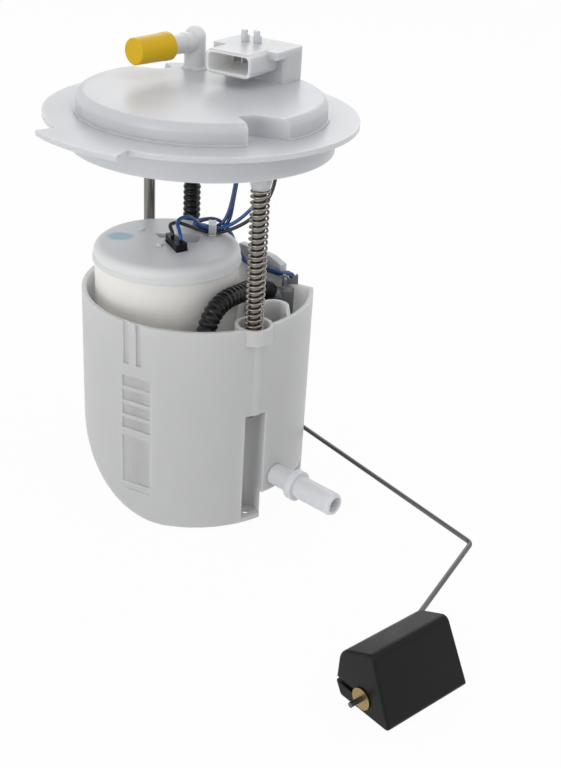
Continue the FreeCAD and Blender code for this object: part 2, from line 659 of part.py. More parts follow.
outlet_bore = rod(size.fuel_bore, (-152, size.hose_bottom + size.barb_length + 1), (0, 0), frame=ELBOW)
outlet_port = rod(size.fuel_bore - 0.6, (size.case_radius - 6.5, outlet_reach), (0, -150), "x", OUTLET)
holder_outer = size.regulator_radius + 1.6
holder_foot = size.regulator_seat - 2.5
holder_top = size.regulator_seat + 13.5
holder_at = (size.regulator_x, size.regulator_y)
holder = rod(holder_outer, (holder_foot, holder_top), holder_at)
holder_arm = box((size.case_radius - 2, 42), (-4, 4), (holder_foot, holder_top - 2),
                 Frame(-67.8, size.case_x, size.case_y))
holder_hollow = rod(size.regulator_radius + size.press_gap, (size.regulator_seat, holder_top + 1), holder_at)
holder_hole = rod(4.5, (holder_foot - 4, size.regulator_seat + 3.5), holder_at)
cut(fuse(canister, outlet_bar, outlet_post, outlet_barb, holder_arm, holder),
    outlet_bore, outlet_port, holder_hollow, holder_hole, label="filter_case")

# Canister cap with its pocket and the plug well
step = size.ledge_step
cap_low = size.case_shoulder
cap_inner = case_neck + size.slide_gap
cap_outer = size.case_radius + size.cap_overhang
cap_body = turned([
    (0, size.cap_top - size.cap_plate), (cap_inner, size.cap_top - size.cap_plate), (cap_inner, cap_low),
    (cap_outer, cap_low), (cap_outer, cap_low + 1.2), (cap_outer - step, cap_low + 1.2),
    (cap_outer - step, cap_low + 2.4), (cap_outer - 2 * step, cap_low + 2.4),
    (cap_outer - 2 * step, size.cap_top), (0, size.cap_top),
], CASE)
rounded(cap_body, size.canister_round, level_ring(size.cap_top, cap_outer - 2 * step))
POCKET = [(-23, 14.3), (2, 15.1), (-1.1, 3.4), (-5.6, 1.8), (-13.2, 9.0), (-19.7, 7.4)]
POCKET_HOUSING = [(-25, 16.3), (4.4, 17.1), (0.6, 1.6), (-6, -0.6), (-14, 6.8), (-21.4, 5.2)]
PLUG = [(-17.3, 5.5), (-14.1, 7.3), (-5.6, -7.6), (-11, -11.5)]
WELL = [(-17.9, 5.6), (-14, 8), (-4.8, -7.8), (-11, -12.3)]
WELL_HOUSING = [(-19.8, 6), (-13.8, 9.9), (-2.6, -8.2), (-11.2, -14.4)]
pocket = raised(POCKET, size.well_floor + 0.8, -60)
well = raised(WELL, size.well_floor, -60)
pocket_housing = raised(POCKET_HOUSING, size.well_floor - 1.2, size.cap_top - 1)
well_housing = raised(WELL_HOUSING, size.well_floor - 2, size.cap_top - 1)
rounded(pocket, 1, upright)
tube_socket = rod(5.6, (-75, size.cap_top - 1), (-26, -7))
tube_socket_bore = rod(4 + size.slide_gap, (-76, size.cap_top - size.cap_plate), (-26, -7))
pin_holes = [rod(0.9, (-76, -66), (x, y)) for x, y in ((-12.8, 0.6), (-9.2, -5.2))]
nubs = [rod(1.5, (size.cap_top - 1, size.cap_top + 1.3), (x, y)) for x, y in ((-29.7, 18.4), (-19.6, -2.6))]
tabs = []
for x, y in ((-45, 27.9), (14.6, 22.2)):
    turn = math.degrees(math.atan2(y - float(size.case_y), x - float(size.case_x)))
    tab_at = Frame(turn, size.case_x, size.case_y)
    tabs.append(box((case_neck - 0.4, cap_outer + 1.1), (-2.6, 2.6), (cap_low, cap_low + 4.5), tab_at))
tab_room = rod(cap_inner, (-80, cap_low + 4.6), (0, 0), frame=CASE)
cut(
    fuse(cap_body, pocket_housing, well_housing, tube_socket, *nubs, cut(fuse(*tabs), tab_room)),
    pocket, well, tube_socket_bore, *pin_holes,
    label="filter_cap",
)
plug = raised(PLUG, size.well_floor, size.plug_top)
rounded(plug, 1, upright)
plug_holes = [rod(0.85, (size.well_floor - 1, -66), (x, y)) for x, y in ((-12.8, 0.6), (-9.2, -5.2))]
cut(plug, *plug_holes, label="pump_plug")
element_outer = case_inner - size.element_gap
element_foot = size.case_bottom + size.case_floor
turned([
    (size.element_inner, element_foot), (element_outer, element_foot), (element_outer, -76),
    (size.element_inner, -76),
], CASE, label="filter_element")

# Electric pump
shell_inner = size.pump_radius - size.pump_shell
turned([
    (shell_inner - 1, -161.5), (size.pump_radius, -161.5), (size.pump_radius, -83), (shell_inner - 1, -83),
    (shell_inner - 1, -84), (shell_inner, -84), (shell_inner, -160.5), (shell_inner - 1, -160.5),
], CASE, label="pump_casing")
cover_inlet = turned([
    (0, size.pump_foot), (11, size.pump_foot), (11, -163), (16.9, -163), (16.9, -160.5), (shell_inner, -160.5),
    (shell_inner, -157.5), (1.7, -157.5), (1.7, -161), (0, -161),
], CASE)
foot_disc = rod(size.pump_radius - 0.4, (size.pump_foot, -162.5), (0, 0), frame=CASE)
inlet_pipe = rod(5, (-176, size.pump_foot + 1), (0, 0), frame=CASE)
inlet_bore = rod(3, (-177, -164), (0, 0), frame=CASE)
inlet_port = rod(2, (-164.5, -156), (10, 0), frame=CASE)
inlet_link = box((0, 10), (-2, 2), (-165, -163.5), CASE)
cut(fuse(cover_inlet, foot_disc, inlet_pipe), inlet_bore, inlet_port, inlet_link, label="pump_inlet_cover")
plate = turned([(1.8, -153.5), (shell_inner, -153.5), (shell_inner, -150.5), (1.8, -150.5)], CASE)
rim_spacer = turned([(16, -157.5), (shell_inner, -157.5), (shell_inner, -153), (16, -153)], CASE)
plate_port = rod(2, (-158, -149), (-10, 0), frame=CASE)
cut(fuse(plate, rim_spacer), plate_port, label="pump_chamber_plate")
impeller = turned([(1.62, -157), (15.6, -157), (15.6, -154), (1.62, -154)], CASE)
vanes = [box((12.6, 17), (-0.6, 0.6), (-158, -153), Frame(turn, size.case_x, size.case_y))
         for turn in range(0, 360, 30)]
cut(impeller, *vanes, label="pump_impeller")
turned([
    (0, -160.5), (1.6, -160.5), (1.6, -142), (6, -142), (6, -140), (13.8, -140), (13.8, -104), (6, -104), (6, -99),
    (7.5, -99), (7.5, -92), (1.6, -92), (1.6, -84.5), (0, -84.5),
], CASE, label="pump_armature")
magnet_ring = turned([(14.6, -145), (shell_inner, -145), (shell_inner, -100), (14.6, -100)], CASE)
cut(magnet_ring, box((-20, 20), (-4, 4), (-150, -90), CASE), label="pump_magnets")
cap_ring = turned([
    (1.7, -90), (shell_inner, -90), (shell_inner, -84), (16.9, -84), (16.9, size.pump_top), (0, size.pump_top),
    (0, -83), (1.7, -83),
], CASE)
outlet_tube = rod(4, (-82.8, -70), (-26, -7))
outlet_way = rod(size.fuel_bore, (-91, -78.4), (-26, -7))
valve_room = rod(2.9, (-78.4, -69), (-26, -7))
pin_seats = [rod(0.72, (-85, -79), (x, y)) for x, y in ((-12.8, 0.6), (-9.2, -5.2))]
brush_seats = [box((7.6, 13.2), (-2.05, 2.05), (-91, -87.5), Frame(turn, size.case_x, size.case_y))
               for turn in (90, 270)]
brush_legs = [box((7.6, 13), (-1.9, 1.9), (-97, -87.6), Frame(turn, size.case_x, size.case_y))
              for turn in (90, 270)]
cut(fuse(cap_ring, outlet_tube), outlet_way, valve_room, *pin_seats, *brush_seats, label="pump_end_cap")
fuse(*brush_legs, label="pump_brushes")
fuse(*[rod(0.7, (-84.5, -66.5), (x, y)) for x, y in ((-12.8, 0.6), (-9.2, -5.2))], label="pump_terminals")
turned([(0, -78), (1.2, -78), (2.7, -76), (2.7, -74.5), (1.4, -73), (1.4, -71), (0, -71)], WORLD, -26, -7, 0,
       "pump_check_valve")

# Mesh bag under the pump
bag = box((-20, 22), (-17, 20), (-188, -178), CASE)
bag_round = fresh("Part::Fillet")
bag_round.Base = bag
doc.recompute()
bag_round.Edges = [(index + 1, 3.0, 3.0) for index in range(len(bag.Shape.Edges))]
bag_neck = turned([(5 + size.press_gap, -180), (7, -180), (7, -168.5), (5 + size.press_gap, -168.5)], CASE)
bag_hole = rod(5 + size.press_gap, (-182, -176), (0, 0), frame=CASE)
cut(fuse(bag_round, bag_neck), bag_hole, label="inlet_strainer")

# Regulator in its holder, and the return hose to the grey fitting
regulator_at = Frame(0, size.regulator_x, size.regulator_y)
turned([
    (0, -139), (3.6, -139), (3.6, -133.5), (size.regulator_radius, -133.5), (size.regulator_radius, -117),
    (size.regulator_radius - 1, -116), (5, -114), (3, -112), (3, -104), (1.5, -104), (1.5, -108), (0, -108),
], regulator_at, label="pressure_regulator")
RETURN = [(3, -43, -112), (3, -43, -93), (10.5, -33, -81.5), (22.5, -16, -83.5), (29.4, -0.5, -86.7),
          (35.5, -0.1, -89.3)]
cord("return_hose", RETURN, size.return_outer, size.return_inner)

joint_at = Vector(45, 0.5, -93.4)
hose_tip = Vector(*RETURN[-1])
barb_lean = Rotation(Vector(0, 0, 1), hose_tip - joint_at)
reach = (hose_tip - joint_at).Length
fitting_barb = turned([
    (0, 0), (3.4, 0), (3.4, reach - 3.8), (2.9, reach - 3.6), (3.1, reach - 1.8), (2.9, reach - 1.7),
    (3.1, reach + 0.2), (2.9, reach + 0.3), (3, reach + 2.4), (2.6, reach + 3), (0, reach + 3),
], WORLD, joint_at.x, joint_at.y, joint_at.z, lean=barb_lean)
fitting_bore = turned([(0, 0), (1.6, 0), (1.6, reach + 4), (0, reach + 4)], WORLD, joint_at.x, joint_at.y, joint_at.z,
                      lean=barb_lean)
fitting_tube = rod(4, (floor_top, -88.5), (45, 0.5))
fitting_crown = turned([(0, -1), (4, -1), (2.4, 1.4), (0, 1.6)], WORLD, 45, 0.5, -88.5)
fitting_way = rod(2.2, (-174, joint_at.z + 1), (45, 0.5))
nozzle_boss = rod(4.4, (0, 9), (0, -172), "x", NOZZLE)
nozzle_seat = rod(3.2 + size.press_gap, (5, 10), (0, -172), "x", NOZZLE)
nozzle_feed = rod(2.2, (0, 6), (0, -172), "x", NOZZLE)
fork = drawn([
    (42.6, -96), (43.2, -82.3), (44.7, -82.3), (47.4, -84.9), (50.2, -82.1), (51, -82.1), (51.2, size.bucket_rim),
    (46.3, size.bucket_rim), (46.3, -96),
], 4, 5.8)
fork_rib = box((43.6, 45.2), (0.5, 4.5), (-96, -83))
cut(fuse(fitting_tube, fitting_crown, fitting_barb, nozzle_boss, fork, fork_rib),
    fitting_way, fitting_bore, nozzle_seat, nozzle_feed, label="jet_fitting")
turned([
    (2.2, 5), (3.2, 5), (3.2, 21.5), (2.2, 22.5), (1.1, 22.5), (1.1, 19), (2.2, 14),
], NOZZLE, 0, 0, -172, "jet_nozzle", LEANS["x"])
turned([
    (size.return_outer + 0.04, reach + 2.2), (size.return_outer + 0.4, reach + 2.2),
    (size.return_outer + 0.4, reach - 0.6), (size.return_outer - 0.6, reach - 3.4),
    (size.return_inner + 0.25, reach - 3.4), (size.return_inner + 0.25, reach - 0.05),
    (size.return_outer + 0.04, reach - 0.05),
], WORLD, joint_at.x, joint_at.y, joint_at.z, "hose_end", barb_lean)

# Clip on the canister cap that gathers the four leads
clip = box((4.5, 8.5), (12.9, 21), (size.cap_top, -59.8))
clip_way = box((3, 10), (14.1, 19.8), (size.cap_top - 1, -60.9))
clip_feet = [box((4.5, 8.5), (low, high), (size.cap_top, -64.3)) for low, high in ((11.2, 13.6), (20.4, 22.6))]
cut(fuse(clip, *clip_feet), clip_way, label="cable_clip")

# Sender plate, card and bearing on the flat side
face = size.flat_offset
plate_back = drawn([(-12, -182), (20, -182), (20, -92), (16, -89), (16, -80), (7, -78), (-19, -79), (-19, -88),
                    (-12, -94)], face, face + size.panel_thick, SENDER)
panel_top = drawn([(-19, size.bucket_rim), (16, size.bucket_rim), (16, -80), (7, -78), (-19, -79)],
                  face - 2, face + 0.5, SENDER)
bearing = rod(4.5, (face + 1, face + 3.9), (size.hub_along, size.hub_level), "y", SENDER)
bearing_bore = rod(size.wire_radius + size.slide_gap, (face - 1, face + 5), (size.hub_along, size.hub_level), "y",
                   SENDER)
card_face = face + size.panel_thick
card_clips = [box((-11, -9.05), (card_face - 1, card_face + 1.6), (-158, -142), SENDER),
              box((18.05, 20), (card_face - 1, card_face + 1.6), (-158, -142), SENDER),
              box((-9, 18), (card_face - 1, card_face + 1.6), (-162, -160.05), SENDER)]
cut(fuse(plate_back, panel_top, bearing, *card_clips), bearing_bore, label="sender_bracket")
box((-9, 18), (card_face, card_face + size.card_thick), (-160, -140), SENDER, "sender_card")

# Float arm: wire, hub, wiper, washer
def sender_points(points):
    """World points of local ones on the flat side."""
    return [tuple(SENDER.spot(*point)) for point in points]


pivot = (float(size.hub_along), float(size.hub_level))
WIRE = sender_points([
    (pivot[0], 43.6, pivot[1]), (pivot[0], 50, pivot[1]), (156.4, 50, -177.5), (175, -5.8, -184),
    (193.5, -5.8, -190), (193.5, -63, -190),
])


def bent_wire(radius):
    """The arm wire: straight legs with small bends, as bent on a bench."""
    spots = [Vector(*point) for point in WIRE]
    bend = 3.2
    shape = None
    edges = []
    start = spots[0]
    for before, here, after in zip(spots, spots[1:], spots[2:]):
        into = (here - before).normalize()
        out = (after - here).normalize()
        half = into.getAngle(out) / 2
        first = here - into * (bend * math.tan(half))
        last = here + out * (bend * math.tan(half))
        centre = here + (out - into).normalize() * (bend / math.cos(half))
        middle = centre + (here - centre).normalize() * bend
        edges.append(Part.LineSegment(start, first).toShape())
        edges.append(Part.Arc(first, middle, last).toShape())
        start = last
    edges.append(Part.LineSegment(start, spots[-1]).toShape())
    spine = Part.Wire(edges)
    way = edges[0].tangentAt(edges[0].FirstParameter)
    ring = Part.Wire([Part.makeCircle(float(radius), spots[0], way)])
    return spine.makePipeShell([ring], True, False)


float_wire = fresh("Part::Feature", "float_wire")
float_wire.Shape = bent_wire(size.wire_radius)
wire_room = fresh("Part::Feature")
wire_room.Shape = bent_wire(size.wire_radius + size.press_gap)
hub_face = face + 4.1
hub_disc = rod(6.5, (hub_face, hub_face + 3.2), (size.hub_along, size.hub_level), "y", SENDER)
hub_arm = drawn([(1.83, -169.02), (11.97, -147.27), (18.31, -150.23), (8.17, -171.98)], hub_face, hub_face + 1.6,
                SENDER)
hub_block = drawn([(0, -174.6), (20, -175.2), (20, -167.2), (0, -166.6)], hub_face + 0.4, size.wire_offset + 1.7,
                  SENDER)
cut(fuse(hub_disc, hub_arm, hub_block), wire_room, label="arm_hub")
wiper_plate = drawn([(10.1, -153.6), (13.5, -146.3), (18, -148.4), (14.6, -155.7)], hub_face - 0.4, hub_face,
                    SENDER)
dimples = [rod(0.8, (card_face + size.card_thick + 0.12, hub_face - 0.2), (x, z), "y", SENDER)
           for x, z in ((12.6, -151.6), (15.4, -152.9))]
fuse(wiper_plate, *dimples, label="wiper_contacts")
near_end = size.float_far - size.float_length
washer = rod(size.washer_radius, (near_end - 0.3 - size.washer_thick, near_end - 0.3),
             (size.float_along, size.float_level), "y", SENDER)
washer_hole = rod(size.wire_radius + size.press_gap, (near_end - 2, near_end + 1),
                  (size.float_along, size.float_level), "y", SENDER)
cut(washer, washer_hole, label="push_washer")

# Float with the side slot to its pin hole and a slanted far end


def at_end(edge):
    """True for the edges round the near end of the float."""
    return edge.BoundBox.YLength < 1e-3 and edge.BoundBox.YMax < -5


FLOAT_AT = Frame(-53, *SENDER.spot(193.5, 0, 0)[0:2])
block = drawn([(-12.7, -7.4), (-16, -1.7), (-15.4, 15.4), (3.1, 24.8), (17.3, -6.8)],
              near_end, size.float_far + size.float_slant, FLOAT_AT)
rounded(block, 8, lambda edge: along_y(edge) and 10 < edge.BoundBox.ZMin < 20)
rounded(block, 3, lambda edge: along_y(edge) and edge.BoundBox.ZMin > 20)
rounded(block, 2, lambda edge: along_y(edge) and edge.BoundBox.ZMin < 10)
rounded(block, 1.2, at_end)
long_end = size.float_far + size.float_slant
FLOAT_AT.place(block, 0, long_end, size.float_level)
pin_hole = rod(size.wire_radius + size.slide_gap, (near_end - 1, long_end + 1), (0, size.float_level), "y",
               FLOAT_AT)
side_slot = box((-20, 0), (near_end - 1, long_end + 1),
                (size.float_level - size.slot_wide / 2, size.float_level + size.slot_wide / 2), FLOAT_AT)
end_slant = drawn([(long_end, size.float_level - 8), (long_end + 4, size.float_level - 8),
                   (long_end + 4, size.float_level + 26), (size.float_far, size.float_level + 26)], -30, 30,
                  Frame(37, *SENDER.spot(193.5, 0, 0)[0:2]))
cut(block, pin_hole, side_slot, end_slant, label="float_block")

# Hose and leads between the cover and the reservoir
hose_line = (float(size.hose_x), float(size.hose_y))
cord("outlet_hose", [hose_line + (float(size.hose_top),), hose_line + (float(size.hose_bottom),)],
     size.hose_outer, size.hose_inner)
lead_top = float(size.blade_level - size.blade_wide / 2) - 0.02
cord("pump_lead_positive", [
    (30.9, 30.9, lead_top), (31.2, 29.5, -2), (36.5, 11.5, -32), (27, 13, -50), (14, 15.9, -62.4), (1, 15.4, -62.4),
    (-4.5, 9.5, -53.5), (-12.2, 3, -53.8), (-9.2, -4.6, -58.6), (-9.2, -4.6, -61.95),
], size.lead_radius)
cord("pump_lead_negative", [
    (35, 28, lead_top), (35.2, 27, -2), (38.8, 8.5, -33), (29.5, 11, -53), (14, 15.9, -64.45), (2.5, 15.6, -64.45),
    (-6, 8, -58.5), (-11.5, 8.8, -57), (-15.5, 4.5, -57), (-13.4, 0.4, -59.4), (-13.4, 0.4, -61.95),
], size.lead_radius)
cord("sender_lead_a", [
    (22.5, 36.7, lead_top), (22.3, 35.4, -2), (17.5, 19, -43), (12.5, 18.1, -62.4), (0, 18.1, -62.4),
    (-3, 27, -62.2),
    (13, 37, -64), (22, 31, -86), (31, 17.5, -82.4), (41, 8.4, -82.4),
] + sender_points([(20, 41.5, -84), (19.8, 47.4, -84.4), (18.8, 47.4, -97), (14, 46.4, -126), (14, 46.1, -139.95)]),
     size.lead_radius)
cord("sender_lead_b", [
    (26.7, 33.8, lead_top), (26.4, 33.2, -2), (21.5, 29, -22), (17.6, 22.3, -44), (14.6, 18.1, -64.45),
    (0, 18.1, -64.45), (-5, 28.5, -64.2), (13, 40, -64.4), (23.5, 33.2, -87.5), (32.5, 18.6, -84.5), (41, 10.6, -84.4),
] + sender_points([(17.7, 41.5, -84), (17.4, 47.4, -84.4), (16.2, 47.4, -97), (9, 46.4, -126), (9, 46.1, -139.95)]),
     size.lead_radius)

# Check every solid and write the files
NODES = [
    "flange_cover", "connector_terminals", "guide_rod_front", "guide_rod_rear", "rod_retaining_rings", "lift_spring",
    "outlet_dust_cap", "outlet_hose", "pump_lead_positive", "pump_lead_negative", "sender_lead_a", "sender_lead_b",
    "reservoir_bucket", "transfer_spigot", "inlet_valve", "filter_case", "filter_cap", "filter_element",
    "pump_plug", "pump_terminals", "pump_casing", "pump_inlet_cover", "pump_chamber_plate", "pump_impeller",
    "pump_armature", "pump_magnets", "pump_end_cap", "pump_brushes", "pump_check_valve", "inlet_strainer",
    "pressure_regulator", "return_hose", "hose_end", "jet_fitting", "jet_nozzle", "cable_clip", "sender_bracket",
    "sender_card", "arm_hub", "float_wire", "wiper_contacts", "push_washer", "float_block",
]
doc.recompute()
for item in doc.Objects:
    if "Invalid" in item.State or "Error" in item.State:
        raise ValueError("%s is not sound: %s" % (item.Label, item.State))
total = 0
for node in NODES:
    shape = doc.getObjectsByLabel(node)[0].Shape
    if shape.isNull() or not shape.isValid() or not shape.Solids:
        raise ValueError("%s has no sound solid" % node)
    triangles = len(shape.tessellate(0.2)[1])
    total += triangles
    shape.exportStep("parts/%s.step" % node)
    print("%-22s %d solid  %9.1f mm3  %5d triangles" % (node, len(shape.Solids), shape.Volume, triangles))
for label, length in lengths.items():
    print("%-22s %.1f mm long" % (label, length))
print(len(NODES), "nodes,", total, "triangles")
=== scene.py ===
# %% [markdown]
# # A fuel pump module
# This unit hangs inside a car's fuel tank: a white cover with a connector and an elbow, two steel rods, a
# bucket that slides on them on a spring, a filter canister in the bucket, and a black float on a bent wire.
# The solids come from the engineering model. This lesson dresses them: it gives each plastic, steel and
# rubber piece its own finish, and it remakes the hoses, leads and spring, because their looks come from how
# they bend.

# %% Load the frame
import math

import bpy
import numpy as np
from mathutils import Matrix, Vector


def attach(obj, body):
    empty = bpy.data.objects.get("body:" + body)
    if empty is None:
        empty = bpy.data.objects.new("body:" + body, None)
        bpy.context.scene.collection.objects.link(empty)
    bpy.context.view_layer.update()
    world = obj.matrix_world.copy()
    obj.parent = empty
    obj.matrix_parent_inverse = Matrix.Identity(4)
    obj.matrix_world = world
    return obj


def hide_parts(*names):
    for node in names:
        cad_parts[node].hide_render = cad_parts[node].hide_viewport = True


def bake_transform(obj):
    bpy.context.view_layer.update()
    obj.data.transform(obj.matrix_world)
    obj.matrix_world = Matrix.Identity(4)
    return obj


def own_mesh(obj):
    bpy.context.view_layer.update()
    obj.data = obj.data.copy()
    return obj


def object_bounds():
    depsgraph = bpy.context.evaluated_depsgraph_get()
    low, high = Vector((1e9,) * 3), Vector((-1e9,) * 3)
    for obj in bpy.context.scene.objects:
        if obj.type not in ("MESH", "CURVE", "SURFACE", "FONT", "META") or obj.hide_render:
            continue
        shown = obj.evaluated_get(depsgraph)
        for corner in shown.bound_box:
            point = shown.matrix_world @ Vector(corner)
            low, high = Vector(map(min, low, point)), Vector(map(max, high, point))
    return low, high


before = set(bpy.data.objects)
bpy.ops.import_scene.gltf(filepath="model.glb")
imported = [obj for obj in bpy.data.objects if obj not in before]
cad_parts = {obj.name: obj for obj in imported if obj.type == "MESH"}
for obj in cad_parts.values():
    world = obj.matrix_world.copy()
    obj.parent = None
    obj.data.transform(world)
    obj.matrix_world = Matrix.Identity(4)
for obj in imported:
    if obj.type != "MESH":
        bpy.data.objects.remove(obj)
cad_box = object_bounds()

# %% [markdown]
# The camera stands where the photo was taken from: about 56 cm in front of the cover's axis, looking down at
# it. Its place was worked out from the circles of the cover, which the photo shows as ellipses. A camera
# that is turned by yaw, pitch and roll is easy to read, so its three axes are built from those angles, in
# radians.

# %% Camera
CAMERA_PLACE = (0, -0.558155, 0.150926)
YAW, PITCH, ROLL = 0.0804, 0.4837, -0.0613
PHOTO_LONG_SIDE = 768
FOCAL_PIXELS = 1184.2
SENSOR_WIDTH = 36


def camera_axes(yaw, pitch, roll):
    """Right, up and forward: yaw turns forward about Z, pitch dips it, roll turns the other two round it."""
    forward = Vector((math.sin(yaw) * math.cos(pitch), math.cos(yaw) * math.cos(pitch), -math.sin(pitch)))
    right = Vector((math.cos(yaw), -math.sin(yaw), 0))
    down = forward.cross(right)
    rolled = right * math.cos(roll) + down * math.sin(roll)
    dropped = down * math.cos(roll) - right * math.sin(roll)
    return rolled, -dropped, forward


right, up, forward = camera_axes(YAW, PITCH, ROLL)
camera_turn = Matrix((right, up, -forward)).transposed().to_4x4()
camera_data = bpy.data.cameras.new("camera")
camera_data.sensor_fit = "AUTO"
camera_data.sensor_width = SENSOR_WIDTH
camera_data.lens = FOCAL_PIXELS / PHOTO_LONG_SIDE * SENSOR_WIDTH
camera = bpy.data.objects.new("camera", camera_data)
bpy.context.scene.collection.objects.link(camera)
camera.matrix_world = Matrix.Translation(CAMERA_PLACE) @ camera_turn
bpy.context.scene.camera = camera
print("lens %.1f mm" % camera_data.lens)

# %% [markdown]
# Studio light is soft, so every lamp is a wide square. The key lamp stands at the front left, level with
# the cover, and a weaker one stands high at the right. Two faint ones, above and behind, lift the cover's
# top and back edge. Each has its place and the length of its side in metres, and its power in watts.

# %% Lamps
bpy.context.scene.view_settings.view_transform = "Standard"
LAMP_AIM = (0.02, -0.03, -0.1)
LAMPS = {
    "key_lamp": ((-0.88, -1.02, 0.0), 0.8, 6.6),
    "right_lamp": ((0.80, -0.45, 0.95), 0.6, 1.7),
    "top_lamp": ((0.25, 0.0, 1.0), 0.7, 0.6),
    "back_lamp": ((0.1, 0.95, 0.5), 0.6, 1.4),
}


def soft_lamp(name, place, side, power):
    """A square lamp at a place, aimed at the middle of the object."""
    data = bpy.data.lights.new(name, "AREA")
    data.size = side
    data.energy = power
    lamp = bpy.data.objects.new(name, data)
    lamp.location = place
    aim = Vector(LAMP_AIM) - Vector(place)
    lamp.rotation_euler = aim.to_track_quat("-Z", "Y").to_euler()
    bpy.context.scene.collection.objects.link(lamp)


for name, (place, side, power) in LAMPS.items():
    soft_lamp(name, place, side, power)
print(len(LAMPS), "lamps")

# %% [markdown]
# Shader nodes read best as sums. This small class holds a socket and turns +, - and * into Math nodes, so a
# worn patch can be written as `1 - mask * 0.3`. Any other node comes from one method of the finish. A
# finish is most often a material, but the world has nodes of the same kind, so it can be one too.


# %% Shader sums
class Signal:
    """A socket of a finish that can be added, subtracted and multiplied."""

    def __init__(self, finish, socket):
        self.finish = finish
        self.socket = socket

    def sum(self, operation, first, second):
        return self.finish.node("ShaderNodeMath", {"operation": operation}, {0: first, 1: second})

    def __add__(self, other):
        return self.sum("ADD", self, other)

    def __radd__(self, other):
        return self.sum("ADD", other, self)

    def __sub__(self, other):
        return self.sum("SUBTRACT", self, other)

    def __rsub__(self, other):
        return self.sum("SUBTRACT", other, self)

    def __mul__(self, other):
        return self.sum("MULTIPLY", self, other)

    def __rmul__(self, other):
        return self.sum("MULTIPLY", other, self)


class Finish:
    """A material or the world. node() makes a node and gives its output, shade() sets the shader."""

    def __init__(self, name, kind=bpy.data.materials, shader="Principled BSDF"):
        self.owner = kind.new(name)
        self.owner.use_nodes = True
        self.tree = self.owner.node_tree
        self.shader = self.tree.nodes[shader]

    def plug(self, socket, value):
        """Link a signal to a socket, or set the socket to a plain value."""
        if isinstance(value, Signal):
            self.tree.links.new(value.socket, socket)
        else:
            socket.default_value = value

    def node(self, kind, settings=None, inputs=None, output=0):
        """A new node with its settings, then its inputs. Gives one output as a signal."""
        made = self.tree.nodes.new(kind)
        for key, value in (settings or {}).items():
            setattr(made, key, value)
        for key, value in (inputs or {}).items():
            self.plug(made.inputs[key], value)
        return Signal(self, made.outputs[output])

    def place(self):
        """Object coordinates, in metres."""
        return self.node("ShaderNodeTexCoord", output="Object")

    def split(self, vector):
        """The three parts of a vector."""
        made = self.node("ShaderNodeSeparateXYZ", {}, {"Vector": vector}).socket.node
        return [Signal(self, part) for part in made.outputs]

    def noise(self, scale, detail, stretch=None):
        """Cloudy noise from 0 to 1. stretch squeezes the pattern along an axis."""
        place = self.place()
        if stretch:
            place = self.node("ShaderNodeMapping", {}, {"Vector": place, "Scale": stretch})
        return self.node("ShaderNodeTexNoise", {}, {"Vector": place, "Scale": scale, "Detail": detail})

    def mix(self, share, first, second):
        """A colour between two, by a share from 0 to 1. Sockets 6 and 7 take colours, output 2 gives one."""
        colours = [(*tone, 1) if isinstance(tone, tuple) else tone for tone in (first, second)]
        sockets = {0: share, 6: colours[0], 7: colours[1]}
        return self.node("ShaderNodeMix", {"data_type": "RGBA"}, sockets, output=2)

    def between(self, signal, low, high):
        """The signal stretched so that low becomes 0 and high becomes 1, held there."""
        sockets = {"Value": signal, "From Min": low, "From Max": high}
        return self.node("ShaderNodeMapRange", {"clamp": True}, sockets)

    def bump(self, height, strength, depth):
        """A normal that leans as a surface with this height would."""
        return self.node("ShaderNodeBump", {}, {"Height": height, "Strength": strength, "Distance": depth})

    def shade(self, **sockets):
        """Set sockets of the shader by name, an underscore for each space. Gives the material or world."""
        for name, value in sockets.items():
            socket = self.shader.inputs[name.replace("_", " ")]
            if isinstance(value, tuple) and socket.type == "RGBA":
                value = (*value, 1)
            self.plug(socket, value)
        return self.owner


print("shader sums ready")

# %% [markdown]
# The world is white all round. A camera, a mirror or a lens sees it at full white, so the backdrop is white
# and steel reflects a white studio. Everything else takes a quieter level from it, which fills the shadows.

# %% White studio
FILL_LEVEL = 0.68


def seen_directly(finish):
    """1 for what a camera, a mirror or a lens sees, and 0 for light that only falls on other things."""
    rays = ("Is Camera Ray", "Is Glossy Ray", "Is Transmission Ray")
    by_camera, by_mirror, by_lens = [finish.node("ShaderNodeLightPath", output=ray) for ray in rays]
    return by_camera + by_mirror + by_lens


studio = Finish("white_studio", bpy.data.worlds, "Background")
sockets = {"Value": seen_directly(studio), "To Min": FILL_LEVEL, "To Max": 1}
level = studio.node("ShaderNodeMapRange", {"clamp": True}, sockets)
bpy.context.scene.world = studio.shade(Color=(1, 1, 1), Strength=level)
print("world from", FILL_LEVEL, "to 1")

# %% [markdown]
# The table is a pale sheet just under the object. Seen directly it is nearly white, and to other rays it is
# plain paint, so the object keeps its soft shadow without the sheet throwing extra light back.

# %% Table sheet
TABLE_GAP = 0.0003
TABLE_LEVEL = cad_box[0][2] - TABLE_GAP
TABLE_SIDE = 30
TABLE_WHITENESS = 0.96

sheet = Finish("table_sheet")
paint = sheet.shade(Base_Color=(0.86, 0.86, 0.86), Roughness=0.9)
painted = Signal(sheet, sheet.shader.outputs[0])
glow = sheet.node("ShaderNodeEmission", {}, {"Color": (1, 1, 1, 1), "Strength": 1.0})
share = seen_directly(sheet) * TABLE_WHITENESS
blend = sheet.node("ShaderNodeMixShader", {}, {0: share, 1: painted, 2: glow})
sheet.plug(sheet.tree.nodes["Material Output"].inputs["Surface"], blend)
bpy.ops.mesh.primitive_plane_add(size=TABLE_SIDE, location=(0, 0, TABLE_LEVEL))
table = bpy.context.object
table.name = "table_sheet"
table.data.materials.append(paint)
print("table at %.4f m" % TABLE_LEVEL)

